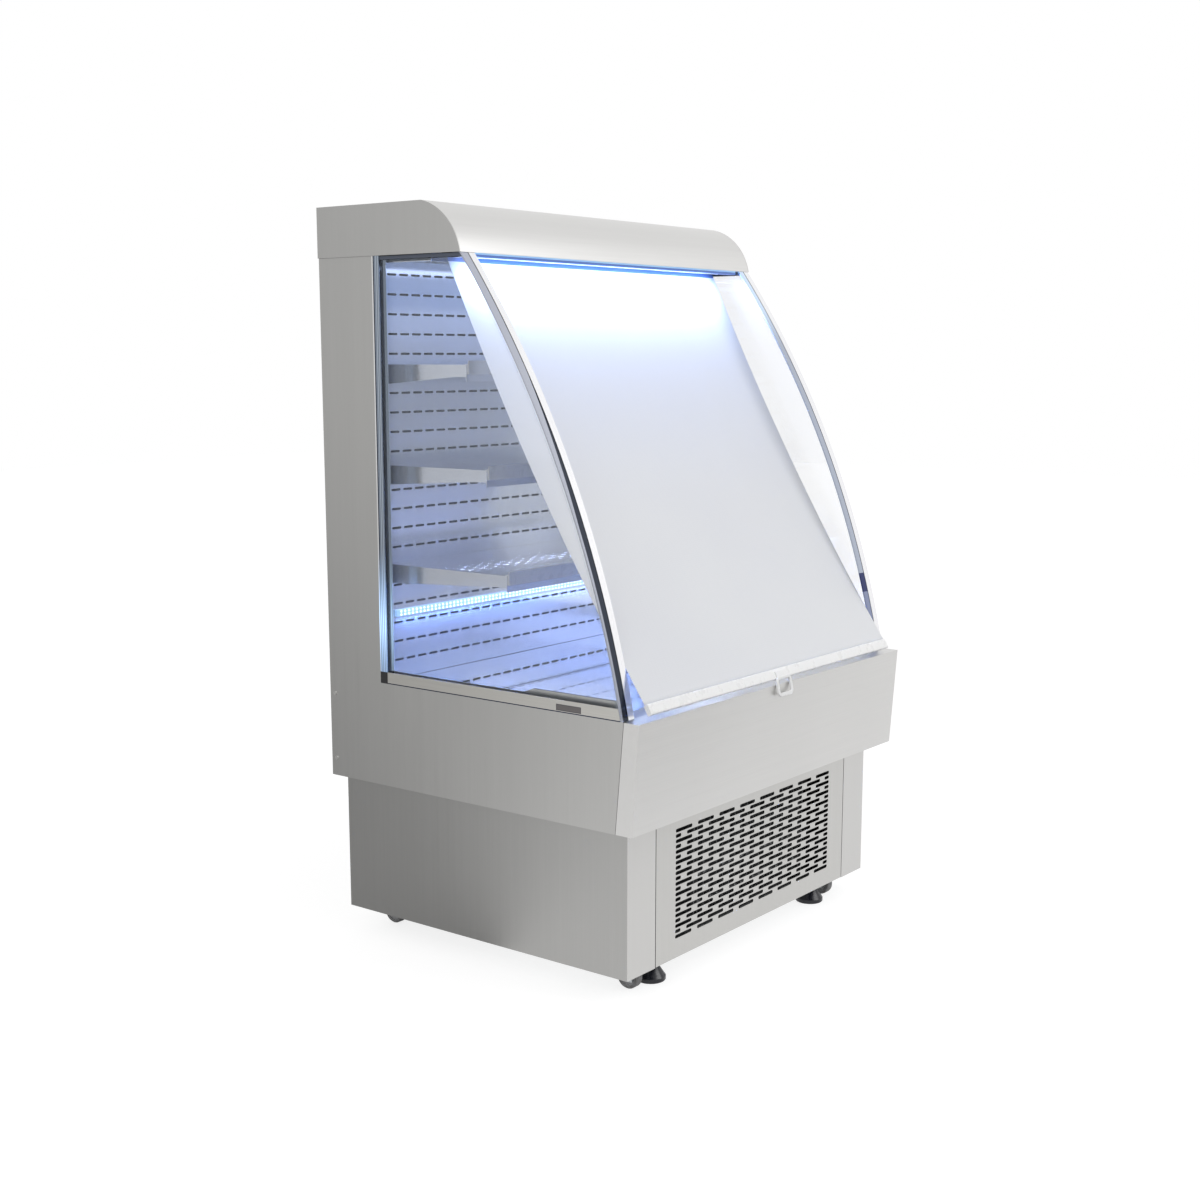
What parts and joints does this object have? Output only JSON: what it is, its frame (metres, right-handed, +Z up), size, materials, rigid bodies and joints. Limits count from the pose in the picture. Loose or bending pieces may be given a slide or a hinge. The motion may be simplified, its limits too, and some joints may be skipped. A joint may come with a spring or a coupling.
{
  "type": "open multideck display fridge",
  "caption": "Free-standing open display fridge with a slotted base, insulated well, curved glazed sides, hung shelves, a rounded hood and a white pull-down night blind.",
  "frame": {"origin": "on the floor, under the middle of the whole object's bounding box", "axes": "+X to the right as seen from the front, +Y to the rear, +Z up; the front faces -Y"},
  "size_m": [1.006, 0.818, 1.525],
  "materials": {
    "stainless": "vertical or lengthwise brushed grain",
    "polished_strip": "fine polish",
    "galvanised": "dull zinc",
    "aluminium_fin": "matt",
    "glass_rail": "satin anodised",
    "inner_steel": "fine bright grain",
    "liner": "semi-matt liner over foam",
    "rear_foam": "coated panel over foam",
    "pane": "clear double glazing with a dark edge seal",
    "black_plastic": "matt",
    "black_rubber": "matt",
    "castor_tread": "matt grey",
    "black_enamel": "gloss enamel",
    "grey_plastic": "matt",
    "lamp": "diffuser lit from inside",
    "honeycomb": "matt",
    "blind_cloth": "fine perforated reflective weave",
    "white_plastic": "semi-gloss",
    "roller_alu": "satin",
    "screw": "bright zinc"
  },
  "bodies": {
    "cabinet": {"base_tray": "galvanised", "base_side_panel_left": "stainless", "base_side_panel_right": "stainless", "base_rear_panel": "galvanised", "condensate_pan": "black_plastic", "compressor": "black_enamel", "condenser_coil": "aluminium_fin", "control_box": "grey_plastic", "power_inlet": "black_plastic", "front_bumper_panel": "stainless", "well_tub": "liner", "evaporator_coil": "aluminium_fin", "fan_plate": "galvanised", "rear_insulated_panel": "rear_foam", "back_wall_panel": "inner_steel", "shelf_uprights": "inner_steel", "rail_corner_blocks": "black_rubber", "well_side_panel_left": "stainless", "well_side_panel_right": "stainless", "column_side_panel_left": "stainless", "column_side_panel_right": "stainless", "side_glass_left": "pane", "side_glass_right": "pane", "glass_bottom_rail_left": "glass_rail", "glass_bottom_rail_right": "glass_rail", "glass_rear_channel_left": "glass_rail", "glass_rear_channel_right": "glass_rail", "glass_front_trim_left": "polished_strip", "glass_front_trim_right": "polished_strip", "hood_side_cap_left": "stainless", "hood_side_cap_right": "stainless", "hood_cover": "stainless", "hood_soffit": "inner_steel", "air_outlet_honeycomb": "honeycomb", "cabinet_lights": "lamp", "blind_brackets": "black_plastic", "blind_fabric": "blind_cloth", "panel_screws": "screw"},
    "grille": {"grille_panel": "stainless"},
    "deck": {"deck_panel": "inner_steel"},
    "foot_left": {"levelling_foot_left": "black_plastic"},
    "foot_right": {"levelling_foot_right": "black_plastic"},
    "wheel_rear_left": {"castor_wheel_rear_left": "castor_tread"},
    "wheel_rear_right": {"castor_wheel_rear_right": "castor_tread"},
    "wheel_front_left": {"castor_wheel_front_left": "castor_tread"},
    "wheel_front_right": {"castor_wheel_front_right": "castor_tread"},
    "condenser_rotor": {"condenser_fan": "black_plastic"},
    "evaporator_rotor_left": {"evaporator_fan_left": "black_plastic"},
    "evaporator_rotor_right": {"evaporator_fan_right": "black_plastic"},
    "switch_rocker": {"power_switch": "black_plastic"},
    "blind_roller": {"blind_roller_tube": "roller_alu"},
    "blind_bar": {"blind_bottom_bar": "white_plastic", "blind_handle": "white_plastic"},
    "shelf_top_unit": {"shelf_top": "inner_steel", "price_rail_top": "white_plastic"},
    "shelf_middle_unit": {"shelf_middle": "inner_steel", "price_rail_middle": "white_plastic"},
    "shelf_bottom_unit": {"shelf_bottom": "inner_steel", "price_rail_bottom": "white_plastic", "shelf_light": "lamp"}
  },
  "joints": [
    {"name": "blind_pull", "type": "slide", "parent": "cabinet", "child": "blind_bar", "axis": [0, 0.5015, 0.8652], "range_m": [0, 0.9], "deforming": ["blind_fabric"]},
    {"name": "blind_roll", "type": "hinge", "parent": "cabinet", "child": "blind_roller", "pos_m": [0, 0.08217, 1.43796], "axis": [1, 0, 0], "range_deg": [0, 2579]},
    {"name": "condenser_fan_spin", "type": "hinge", "parent": "cabinet", "child": "condenser_rotor", "pos_m": [0.03, -0.193, 0.205], "axis": [0, 1, 0], "continuous": true},
    {"name": "evaporator_fan_left_spin", "type": "hinge", "parent": "cabinet", "child": "evaporator_rotor_left", "pos_m": [-0.22, 0.258, 0.426], "axis": [0, 1, 0], "continuous": true},
    {"name": "evaporator_fan_right_spin", "type": "hinge", "parent": "cabinet", "child": "evaporator_rotor_right", "pos_m": [0.22, 0.258, 0.426], "axis": [0, 1, 0], "continuous": true},
    {"name": "shelf_top_lift", "type": "slide", "parent": "cabinet", "child": "shelf_top_unit", "axis": [0, 0, 1], "range_m": [0, 0.012]},
    {"name": "shelf_middle_lift", "type": "slide", "parent": "cabinet", "child": "shelf_middle_unit", "axis": [0, 0, 1], "range_m": [0, 0.012]},
    {"name": "shelf_bottom_lift", "type": "slide", "parent": "cabinet", "child": "shelf_bottom_unit", "axis": [0, 0, 1], "range_m": [0, 0.012]},
    {"name": "deck_lift", "type": "slide", "parent": "cabinet", "child": "deck", "axis": [0, 0, 1], "range_m": [0, 0.1]},
    {"name": "grille_pull", "type": "slide", "parent": "cabinet", "child": "grille", "axis": [0, -1, 0], "range_m": [0, 0.03]},
    {"name": "switch_rock", "type": "hinge", "parent": "cabinet", "child": "switch_rocker", "pos_m": [0.33, 0.391, 0.25], "axis": [1, 0, 0], "range_deg": [0, 16]},
    {"name": "foot_left_turn", "type": "hinge", "parent": "cabinet", "child": "foot_left", "pos_m": [-0.31, -0.291, 0.05], "axis": [0, 0, 1], "range_deg": [-1800, 1800]},
    {"name": "foot_right_turn", "type": "hinge", "parent": "cabinet", "child": "foot_right", "pos_m": [0.31, -0.291, 0.05], "axis": [0, 0, 1], "range_deg": [-1800, 1800]},
    {"name": "wheel_rear_left_roll", "type": "hinge", "parent": "cabinet", "child": "wheel_rear_left", "pos_m": [-0.3725, 0.354, 0.025], "axis": [1, 0, 0], "continuous": true},
    {"name": "wheel_rear_right_roll", "type": "hinge", "parent": "cabinet", "child": "wheel_rear_right", "pos_m": [0.3725, 0.354, 0.025], "axis": [1, 0, 0], "continuous": true},
    {"name": "wheel_front_left_roll", "type": "hinge", "parent": "cabinet", "child": "wheel_front_left", "pos_m": [-0.3725, -0.286, 0.025], "axis": [1, 0, 0], "continuous": true},
    {"name": "wheel_front_right_roll", "type": "hinge", "parent": "cabinet", "child": "wheel_front_right", "pos_m": [0.3725, -0.286, 0.025], "axis": [1, 0, 0], "continuous": true}
  ],
  "couplings": [
    {"joint": "blind_roll", "follows": "blind_pull", "rad_per_m": 50}
  ]
}
